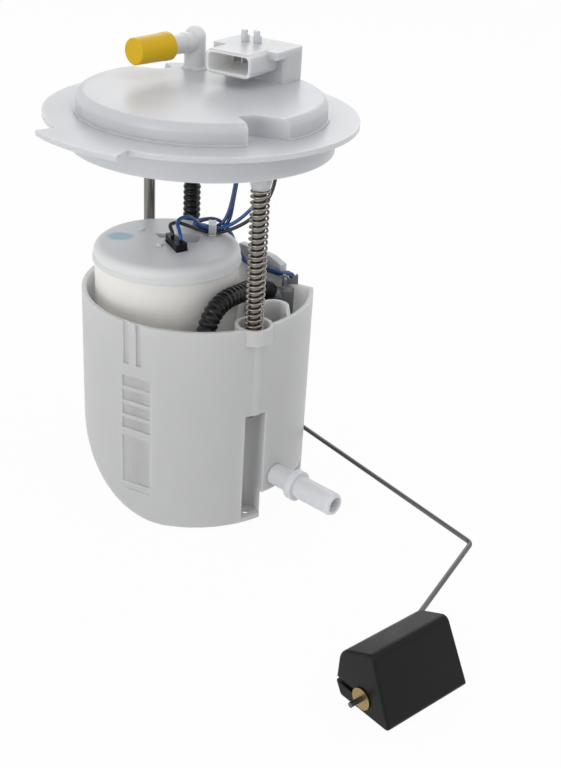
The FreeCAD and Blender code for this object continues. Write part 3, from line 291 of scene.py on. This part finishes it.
# %% [markdown]
# Three masks say where a plastic changes colour. One is the oval of blue paint on the canister's cap. The
# other two are painted light. They make pale plastic lighter where light would come through it: one on the
# side of the bucket's wall that faces the axis, and the other on the thin walls of the elbow and of the
# connector's pocket. A mask is a formula on Object coordinates, so it stays on its piece when the piece
# moves.

# %% Masks
SPOT_MIDDLE = (-0.040, 0.0085)
SPOT_HALF = (0.0068, 0.0056)
SPOT_EDGE = (1.3, 0.5)
SPOT_STRENGTH = 0.8
WAVE_SCALE, WAVE_DEPTH = 400, 0.8
FACING_AXIS = (-0.005, -0.030)
EDGE_FADE = 0.0008


def spot_mask(finish):
    """1 inside the oval of paint on the canister's cap: (x/a)^2 + (y/b)^2 < 1, with a soft and wavy edge."""
    far = 0
    for along, middle, half in zip(finish.split(finish.place()), SPOT_MIDDLE, SPOT_HALF):
        step = (along - middle) * (1 / half)
        far = step * step + far
    wave = (finish.noise(WAVE_SCALE, 3) - 0.5) * WAVE_DEPTH
    return finish.between(far + wave, *SPOT_EDGE) * SPOT_STRENGTH


# Painted light: this mask paints the bucket's walls that face the axis lighter, for light coming through
# them.
def axis_glow_mask(finish):
    """1 on walls that face the module's axis, from the dot product of place and normal across Z, else 0."""
    place = finish.split(finish.place())
    normal = finish.split(finish.node("ShaderNodeNewGeometry", output="Normal"))
    outward = place[0] * normal[0] + place[1] * normal[1]
    return finish.between(outward, *FACING_AXIS)


# Used for painted light: a box in which walls get a lighter colour, for light coming through thin plastic.
def glow_box_mask(finish, low, high, turn, origin):
    """1 inside a box that stands at an origin, turned about Z, and 0 from EDGE_FADE outside its faces."""
    sockets = {"Vector": finish.place(), "Location": origin, "Rotation": (0, 0, math.radians(turn))}
    place = finish.node("ShaderNodeMapping", {"vector_type": "TEXTURE"}, sockets)
    mask = 1
    for along, start, end in zip(finish.split(place), low, high):
        past_start = finish.between(along, start - EDGE_FADE, start)
        before_end = finish.between(along, end + EDGE_FADE, end)
        mask = past_start * before_end * mask
    return mask


print("masks ready")

# %% [markdown]
# Acetal mouldings are white but never one white. The cover and bucket are cool, the canister is a little
# creamy, the surface has a fine spark-eroded grain, and faint flow clouds show where the melt met. Noise at
# three scales gives that: large for the tint, middle for the polish, and fine for the grain.

# %% Moulded plastic
CLOUD_EDGES, CLOUD_SHARE = (0.35, 0.75), 0.5
POLISH_SCALE, POLISH_DRIFT = 90, 0.14
GRAIN_SCALE, GRAIN_STRENGTH = 2600, 0.35


def moulded(name, colour, shadow, rough, grain=0.00006, cloud=14.0, shine=0.5, wax=0.0, depth=0.005,
            spot=None, inside=None, glow_boxes=()):
    """A moulded plastic: the colour drifts to the shadow tone in clouds, and a fine grain breaks the gloss.

    wax is the share of light that goes into the wall and comes out up to a depth away, or behind the wall.
    spot is the colour of the paint. inside is painted light: a lighter colour on walls that face the axis,
    in place of light that comes through them. The boxes of the last argument are painted light too: each
    gives the walls in it a lighter colour, in place of light that comes through them."""
    finish = Finish(name)
    clouds = finish.between(finish.noise(cloud, 4), *CLOUD_EDGES)
    tint = finish.mix(clouds * CLOUD_SHARE, colour, shadow)
    if spot:
        tint = finish.mix(spot_mask(finish), tint, spot)
    # Painted light: walls that face the axis get a lighter colour, for light coming through the wall.
    if inside:
        tint = finish.mix(axis_glow_mask(finish), tint, inside)
    # Painted light: the walls in each box get a lighter colour, for light coming through them.
    for glow_tone, low, high, turn, origin in glow_boxes:
        tint = finish.mix(glow_box_mask(finish, low, high, turn, origin), tint, glow_tone)
    roughness = (finish.noise(POLISH_SCALE, 3) - 0.5) * POLISH_DRIFT + rough
    grained = finish.bump(finish.noise(GRAIN_SCALE, 2), GRAIN_STRENGTH, grain)
    return finish.shade(Base_Color=tint, Roughness=roughness, Normal=grained, Specular_IOR_Level=shine,
                        Subsurface_Weight=wax, Subsurface_Radius=(1.0, 1.0, 1.0), Subsurface_Scale=depth)


# %% [markdown]
# Each piece's plastic has a colour, a shadow tone and a roughness. Two boxes hold painted light: one round
# the elbow, turned as the elbow's arm is, and one round the connector's pocket, turned as the connector is.
# Within them the walls are painted lighter, in place of light that comes through the thin plastic.

# %% Plastics of the pieces
ELBOW_FOOT = (-0.0045, 0.044, 0)
ELBOW_TURN, SOCKET_TURN = -134, -35
# Painted light: the first box lightens the elbow's walls and the second the connector's pocket.
GLOW_WALLS = [
    ((0.73, 0.74, 0.76), (-0.007, -0.007, 0.0130), (0.026, 0.007, 0.034), ELBOW_TURN, ELBOW_FOOT),
    ((0.93, 0.93, 0.93), (-0.0068, 0.0115, 0.0186), (0.0168, 0.0354, 0.0276), SOCKET_TURN, (0, 0, 0)),
]

cover_white = moulded("cover_white", (0.57, 0.582, 0.605), (0.535, 0.55, 0.58), 0.32, wax=0.7,
                      depth=0.007, glow_boxes=GLOW_WALLS)
# The bucket's inside colour is painted light: walls facing the axis are lighter, for light through the wall.
bucket_white = moulded("bucket_white", (0.57, 0.573, 0.577), (0.53, 0.536, 0.546), 0.42, wax=0.7,
                       depth=0.007, inside=(0.93, 0.93, 0.92))
# The canister's colour is its creamy white set lighter still: partly painted light, for light through it
# under the cover.
canister_white = moulded("canister_white", (0.94, 0.915, 0.88), (0.91, 0.88, 0.84), 0.46, wax=0.3)
cap_white = moulded("cap_white", (0.78, 0.79, 0.80), (0.74, 0.755, 0.77), 0.44, wax=0.3,
                    spot=(0.20, 0.50, 0.66))
spigot_white = moulded("spigot_white", (0.69, 0.70, 0.725), (0.65, 0.665, 0.695), 0.34, wax=0.6)
sender_white = moulded("sender_white", (0.60, 0.61, 0.635), (0.55, 0.565, 0.60), 0.42, wax=0.6)
grey_moulding = moulded("grey_moulding", (0.17, 0.175, 0.185), (0.13, 0.135, 0.145), 0.42)
black_moulding = moulded("black_moulding", (0.008, 0.008, 0.009), (0.014, 0.014, 0.015), 0.36, shine=0.12)
black_nylon = moulded("black_nylon", (0.004, 0.004, 0.005), (0.008, 0.008, 0.009), 0.22, cloud=60, shine=0.3)
cap_yellow = moulded("cap_yellow", (0.73, 0.47, 0.012), (0.63, 0.38, 0.008), 0.34, cloud=50, shine=0.2)
float_skin = moulded("float_skin", (0.007, 0.007, 0.0075), (0.012, 0.012, 0.0125), 0.36, grain=0.00004,
                     cloud=40, shine=0.15)
print("plastics done")

# %% [markdown]
# Rubber, filter paper, ferrite, carbon and ceramic also have cloudy colour and a grain, so the plastic's
# recipe serves them with other numbers: most are rougher, and the paper has a deeper grain.

# %% Rubber, paper, ferrite, carbon and ceramic
soft_rubber = moulded("soft_rubber", (0.02, 0.02, 0.02), (0.03, 0.03, 0.03), 0.62)
pleated_paper = moulded("pleated_paper", (0.62, 0.52, 0.30), (0.55, 0.45, 0.25), 0.85, grain=0.0002)
ferrite = moulded("ferrite", (0.05, 0.05, 0.052), (0.08, 0.08, 0.08), 0.5)
brush_carbon = moulded("brush_carbon", (0.02, 0.02, 0.02), (0.035, 0.035, 0.035), 0.55)
ceramic_card = moulded("ceramic_card", (0.72, 0.74, 0.70), (0.62, 0.66, 0.62), 0.3)
print("rubber, paper, ferrite, carbon and ceramic done")

# %% [markdown]
# Steel shows how it was worked. A ground rod has hair lines round it, spring wire is drawn and slightly
# warm, and pressed tin is dull. Stretched noise gives the lines: squeezed along Z it becomes rings round a
# rod.

# %% Metals
STAIN_SCALE, STAIN_EDGES, STAIN_SHARE = 35, (0.4, 0.8), 0.6
METAL_MIDDLE, METAL_DRIFT = 0.75, 0.08


def worked(name, colour, stain, rough, stretch=(60, 60, 1200), groove=0.000004):
    """A bare metal with hair lines: stretched noise for the lines, soft clouds for the stain."""
    finish = Finish(name)
    lines = finish.noise(1.0, 2, stretch)
    clouds = finish.between(finish.noise(STAIN_SCALE, 4), *STAIN_EDGES)
    tint = finish.mix(clouds * STAIN_SHARE, colour, stain)
    roughness = (lines + clouds - METAL_MIDDLE) * METAL_DRIFT + rough
    lined = finish.bump(lines, 0.3, groove)
    return finish.shade(Base_Color=tint, Metallic=1.0, Roughness=roughness, Normal=lined)


# The rod, spring and float-wire steels are darker than bare steel: painted reflection of dark surroundings.
ground_rod = worked("ground_rod", (0.24, 0.233, 0.22), (0.16, 0.153, 0.142), 0.24)
drawn_wire = worked("drawn_wire", (0.30, 0.27, 0.235), (0.18, 0.16, 0.135), 0.26, (900, 900, 900))
wire_steel = worked("wire_steel", (0.145, 0.15, 0.155), (0.09, 0.092, 0.097), 0.30, (700, 700, 700))
tin_plate = worked("tin_plate", (0.50, 0.49, 0.47), (0.36, 0.35, 0.34), 0.36, (300, 300, 300))
zinc_plate = worked("zinc_plate", (0.46, 0.47, 0.48), (0.36, 0.37, 0.38), 0.34)
brass_plate = worked("brass_plate", (0.36, 0.27, 0.12), (0.26, 0.19, 0.085), 0.34, (500, 500, 500))
wound_copper = worked("wound_copper", (0.58, 0.30, 0.16), (0.30, 0.24, 0.20), 0.38, (40, 40, 1500), 0.0002)
print("metals done")

# %% [markdown]
# The strainer is a bag of woven mesh. Two crossed waves make the weave, and the same height drives the bump
# and a darker colour in the holes between the threads, painted shade for the dark seen through them.

# %% Woven mesh
THREAD_PITCH = 0.0012
THREAD_HEIGHT = 0.0003


def woven(name, thread, hole_shade):
    """A plain weave: the product of two sine waves at right angles gives threads and holes."""
    finish = Finish(name)
    beat = 2 * math.pi / THREAD_PITCH
    across, along = finish.split(finish.place())[:2]
    first = finish.node("ShaderNodeMath", {"operation": "SINE"}, {0: across * beat})
    second = finish.node("ShaderNodeMath", {"operation": "SINE"}, {0: along * beat})
    height = finish.between(first * second, -1.0, 1.0)
    # Painted shade: the holes between the threads are darker, for the dark seen through the mesh.
    tint = finish.mix(height, hole_shade, thread)
    return finish.shade(Base_Color=tint, Roughness=0.7, Normal=finish.bump(height, 0.5, THREAD_HEIGHT))


strainer_mesh = woven("strainer_mesh", (0.80, 0.79, 0.74), (0.45, 0.44, 0.40))
print("mesh done")

# %% [markdown]
# The nodes of the engineering model now get their finishes. The list goes finish by finish, with the nodes
# that wear each. The hoses, leads and spring are left out, because finer pieces replace them further on.

# %% Dress the solids
DRESS = [
    (cover_white, ["flange_cover", "cable_clip"]),
    (bucket_white, ["reservoir_bucket"]),
    (spigot_white, ["transfer_spigot"]),
    (canister_white, ["filter_case"]),
    (cap_white, ["filter_cap"]),
    (sender_white, ["sender_bracket", "arm_hub"]),
    (grey_moulding, ["jet_fitting", "jet_nozzle"]),
    (black_moulding, ["pump_plug", "pump_impeller", "pump_end_cap", "hose_end"]),
    (cap_yellow, ["outlet_dust_cap"]),
    (float_skin, ["float_block"]),
    (soft_rubber, ["inlet_valve", "pump_check_valve"]),
    (pleated_paper, ["filter_element"]),
    (ferrite, ["pump_magnets"]),
    (brush_carbon, ["pump_brushes"]),
    (ceramic_card, ["sender_card"]),
    (ground_rod, ["guide_rod_front", "guide_rod_rear"]),
    (drawn_wire, ["rod_retaining_rings"]),
    (wire_steel, ["float_wire"]),
    (tin_plate, ["connector_terminals", "pump_terminals"]),
    (zinc_plate, ["pump_casing", "pump_inlet_cover", "pump_chamber_plate", "pressure_regulator"]),
    (brass_plate, ["wiper_contacts", "push_washer"]),
    (wound_copper, ["pump_armature"]),
    (strainer_mesh, ["inlet_strainer"]),
]


def dress(thing, material):
    """Put one material on every slot of a mesh."""
    thing.data.materials.clear()
    thing.data.materials.append(material)


waiting = set(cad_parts)
for material, nodes in DRESS:
    for node in nodes:
        dress(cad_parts[node], material)
    waiting -= set(nodes)
print("still to be replaced:", sorted(waiting))

# %% [markdown]
# Hoses, leads and the spring are all one idea: a round section carried along a line. The line is a smooth
# NURBS curve through space, pulled by a few given control points. Blender works the curve out, and
# its points are then spread evenly, so that rings and bends get the same detail all the way.

# %% A smooth line
ROUTE_STEPS = 32
ROUTE_ORDER = 3


def smooth_line(points, spacing):
    """Points on the NURBS curve of control points in millimetres, and how far along each lies, in metres."""
    control = np.ones((len(points), 4), dtype=np.float32)
    control[:, :3] = np.array(points, dtype=float) / 1000
    data = bpy.data.curves.new("route", "CURVE")
    data.dimensions = "3D"
    data.resolution_u = ROUTE_STEPS
    spline = data.splines.new("NURBS")
    spline.points.add(len(points) - 1)
    spline.points.foreach_set("co", control.ravel())
    spline.order_u = ROUTE_ORDER
    spline.use_endpoint_u = True
    holder = bpy.data.objects.new("route", data)
    bpy.context.scene.collection.objects.link(holder)
    mesh = bpy.data.meshes.new_from_object(holder)
    line = np.empty(len(mesh.vertices) * 3)
    mesh.vertices.foreach_get("co", line)
    line = line.reshape(-1, 3)
    bpy.data.objects.remove(holder)
    bpy.data.curves.remove(data)
    bpy.data.meshes.remove(mesh)
    gone = np.concatenate([[0], np.cumsum(np.linalg.norm(np.diff(line, axis=0), axis=1))])
    even = np.linspace(0, gone[-1], int(round(gone[-1] / spacing)) + 1)
    return np.stack([np.interp(even, gone, line[:, axis]) for axis in range(3)], axis=1), even


# %% [markdown]
# The section is turned along the line without twisting: each pair of cross directions is the last pair,
# made square to the line again. The radius may change on the way, and that alone makes a corrugated hose.


# %% A tube along a line
def untwisted(line):
    """Two unit vectors across the line at each point. The line may start in any direction but along X."""
    along = np.gradient(line, axis=0)
    along /= np.linalg.norm(along, axis=1, keepdims=True)
    across = np.empty_like(line)
    last = np.array([1.0, 0.0, 0.0])
    for step, direction in enumerate(along):
        turned = last - direction * last.dot(direction)
        last = turned / np.linalg.norm(turned)
        across[step] = last
    return across, np.cross(along, across)


def tube(name, line, radius, sides):
    """A closed tube: point = line + radius * (cos a * across + sin a * side), with both ends capped."""
    across, side = untwisted(line)
    turn = np.linspace(0, 2 * np.pi, sides, endpoint=False)[None, :, None]
    ring = np.cos(turn) * across[:, None, :] + np.sin(turn) * side[:, None, :]
    reach = np.broadcast_to(radius, len(line))[:, None, None]
    skin = line[:, None, :] + reach * ring
    points = np.concatenate([skin.reshape(-1, 3), line[:1], line[-1:]])
    rows, columns = np.meshgrid(np.arange(len(line) - 1), np.arange(sides), indexing="ij")
    here = rows * sides + columns
    beside = rows * sides + (columns + 1) % sides
    faces = np.stack([here, beside, beside + sides, here + sides], axis=-1).reshape(-1, 4)
    start_point = len(line) * sides
    end_point = start_point + 1
    last_row = start_point - sides
    lap = np.arange(sides)
    start_cap = np.stack([np.full(sides, start_point), (lap + 1) % sides, lap], axis=1)
    end_cap = np.stack([np.full(sides, end_point), last_row + lap, last_row + (lap + 1) % sides], axis=1)
    mesh = bpy.data.meshes.new(name)
    mesh.from_pydata(points.tolist(), [], faces.tolist() + start_cap.tolist() + end_cap.tolist())
    mesh.polygons.foreach_set("use_smooth", np.ones(len(mesh.polygons), dtype=bool))
    mesh.update()
    piece = bpy.data.objects.new(name, mesh)
    bpy.context.scene.collection.objects.link(piece)
    return piece


# %% [markdown]
# Corrugated nylon hose has round-topped rings about 3 mm apart. A cosine raised to a power below one has
# wide tops and narrow grooves, as the rings of the photo have. The ends are plain cuffs, each with its own
# length.

# %% Corrugated hoses
RING_PITCH = 0.0031
RING_STEPS = 8
RING_POWER = 0.6
GROOVE_DEPTH = 0.00105
HOSE_SIDES = 28
OUTLET_PEAK, OUTLET_CUFFS = 0.00465, (0.002, 0.002)
RETURN_PEAK, RETURN_CUFFS = 0.00495, (0.006, 0.002)
OUTLET_ROUTE = [(-4.5, 44, -22), (-4.5, 44, -52), (-4.5, 44, -82), (-4.5, 44, -112), (-4.5, 44, -142)]
RETURN_ROUTE = [(3, -43, -112), (3, -43, -93), (10.5, -33, -81.5), (22.5, -16, -83.5),
                (29.4, -0.5, -86.7), (35.5, -0.1, -89.3)]


def corrugated(name, points, peak, cuffs):
    """radius = groove + depth * |cos(pi s / pitch)| ^ power, between two plain cuffs."""
    line, gone = smooth_line(points, RING_PITCH / RING_STEPS)
    wave = np.abs(np.cos(np.pi * gone / RING_PITCH)) ** RING_POWER
    radius = peak - GROOVE_DEPTH + GROOVE_DEPTH * wave
    plain = (gone < cuffs[0]) | (gone > gone[-1] - cuffs[1])
    radius = np.where(plain, peak - GROOVE_DEPTH / 2, radius)
    piece = tube(name, line, radius, HOSE_SIDES)
    dress(piece, black_nylon)
    print("%-18s %.0f mm, %d rings" % (name, gone[-1] * 1000, gone[-1] / RING_PITCH))
    return piece


outlet = corrugated("outlet_hose_rings", OUTLET_ROUTE, OUTLET_PEAK, OUTLET_CUFFS)
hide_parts("outlet_hose")
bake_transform(outlet)

back = corrugated("return_hose_rings", RETURN_ROUTE, RETURN_PEAK, RETURN_CUFFS)
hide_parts("return_hose")
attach(back, "reservoir")

# %% [markdown]
# The leads are soft stranded wire in smooth insulation. They hang in easy curves from the connector to a
# clip on the canister, and from there one pair goes into the pump's plug and the other round the back to
# the level sender. The bucket moves and the cover doesn't.

# %% Insulation
DRIFT_SCALE, DRIFT_EDGES = 60, (0.3, 0.7)
SKIN_SCALE, SKIN_DEPTH = 1500, 0.00004


def insulation(name, colour, shade):
    """Smooth lead insulation with a slight drift of colour along it."""
    finish = Finish(name)
    drift = finish.between(finish.noise(DRIFT_SCALE, 2), *DRIFT_EDGES)
    skin = finish.bump(finish.noise(SKIN_SCALE, 2), 0.2, SKIN_DEPTH)
    tint = finish.mix(drift, colour, shade)
    return finish.shade(Base_Color=tint, Roughness=drift * 0.1 + 0.24, Normal=skin)


light_blue = insulation("light_blue_lead", (0.005, 0.095, 0.34), (0.004, 0.075, 0.28))
dark_blue = insulation("dark_blue_lead", (0.005, 0.055, 0.22), (0.004, 0.040, 0.17))
black_lead = insulation("black_lead", (0.012, 0.012, 0.013), (0.02, 0.02, 0.022))
print("insulation done")

# %% [markdown]
# Each lead's route is given in millimetres. The sender sits on the bucket's flat side, so the end of
# its leads is easier to set in that side's own directions and turned into place.

# %% Leads
LEAD_RADIUS = 0.00095
LEAD_SIDES = 14
LEAD_SPACING = 0.0012
LEAD_TOP = 20.08
FLAT_TURN = math.radians(-53)


def flat_side(points):
    """Points given along, out from and up the sender's flat side, turned into the module's frame."""
    cosine, sine = math.cos(FLAT_TURN), math.sin(FLAT_TURN)
    return [(x * cosine - y * sine, x * sine + y * cosine, z) for x, y, z in points]


LEADS = {
    "pump_lead_positive": (light_blue, "light_blue_wire", [
        (30.9, 30.9, LEAD_TOP), (31.2, 29.5, -2), (36.5, 11.5, -32), (27, 13, -50), (14, 15.9, -62.4),
        (1, 15.4, -62.4), (-4.5, 9.5, -53.5), (-12.2, 3, -53.8), (-9.2, -4.6, -58.6), (-9.2, -4.6, -61.95),
    ]),
    "pump_lead_negative": (black_lead, "black_wire", [
        (35, 28, LEAD_TOP), (35.2, 27, -2), (38.8, 8.5, -33), (29.5, 11, -53), (14, 15.9, -64.45),
        (2.5, 15.6, -64.45), (-6, 8, -58.5), (-11.5, 8.8, -57), (-15.5, 4.5, -57), (-13.4, 0.4, -59.4),
        (-13.4, 0.4, -61.95),
    ]),
    "sender_lead_a": (dark_blue, "dark_blue_wire", [
        (22.5, 36.7, LEAD_TOP), (22.3, 35.4, -2), (17.5, 19, -43), (12.5, 18.1, -62.4), (0, 18.1, -62.4),
        (-3, 27, -62.2), (13, 37, -64), (22, 31, -86), (31, 17.5, -82.4), (41, 8.4, -82.4),
        *flat_side([(20, 41.5, -84), (19.8, 47.4, -84.4), (18.8, 47.4, -97), (14, 46.4, -126),
                    (14, 46.1, -139.95)]),
    ]),
    "sender_lead_b": (dark_blue, "dark_blue_wire", [
        (26.7, 33.8, LEAD_TOP), (26.4, 33.2, -2), (21.5, 29, -22), (17.6, 22.3, -44), (14.6, 18.1, -64.45),
        (0, 18.1, -64.45), (-5, 28.5, -64.2), (13, 40, -64.4), (23.5, 33.2, -87.5), (32.5, 18.6, -84.5),
        (41, 10.6, -84.4),
        *flat_side([(17.7, 41.5, -84), (17.4, 47.4, -84.4), (16.2, 47.4, -97), (9, 46.4, -126),
                    (9, 46.1, -139.95)]),
    ]),
}
for name, (material, slot, points) in LEADS.items():
    line, gone = smooth_line(points, LEAD_SPACING)
    lead = tube(name + "_line", line, LEAD_RADIUS, LEAD_SIDES)
    dress(lead, material)
    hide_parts(name)
    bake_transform(lead)
    print("%-20s %.0f mm" % (name, gone[-1] * 1000))

# %% [markdown]
# The spring has 25 turns of 1.2 mm wire with closed ends. Its line is a helix: the angle grows evenly, and
# the height climbs at an even pace that eases off over the first and last turn, so the ends lie flat on
# their seats.

# %% Lift spring
ROD_AZIMUTH = math.radians(-59.5)
ROD_CIRCLE = 0.0531
SPRING_HIGH, SPRING_LENGTH = -0.020, 0.071
SPRING_LOW = SPRING_HIGH - SPRING_LENGTH
SPRING_RADIUS, WIRE_RADIUS, WIRE_SIDES = 0.0041, 0.00058, 12
TURNS, STEPS_PER_TURN = 25, 40
START_ANGLE = 0.4
CLOSED_PACE = 0.12


def spring_line():
    """A helix about the front rod: angle = 2 pi t, and height = the sum of the pace up to turn t."""
    turn = np.linspace(0, TURNS, TURNS * STEPS_PER_TURN + 1)
    pace = np.clip(np.minimum(turn, TURNS - turn), CLOSED_PACE, 1.0)
    climb = np.concatenate([[0], np.cumsum((pace[1:] + pace[:-1]) / 2)])
    low, high = SPRING_LOW + WIRE_RADIUS, SPRING_HIGH - WIRE_RADIUS
    height = low + (high - low) * climb / climb[-1]
    angle = 2 * np.pi * turn + START_ANGLE
    x = ROD_CIRCLE * math.cos(ROD_AZIMUTH) + SPRING_RADIUS * np.cos(angle)
    y = ROD_CIRCLE * math.sin(ROD_AZIMUTH) + SPRING_RADIUS * np.sin(angle)
    return np.stack([x, y, height], axis=1)


coil = tube("spring_coil", spring_line(), WIRE_RADIUS, WIRE_SIDES)
dress(coil, drawn_wire)
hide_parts("lift_spring")
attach(coil, "cover")
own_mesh(coil)
print("spring", len(coil.data.vertices), "points")
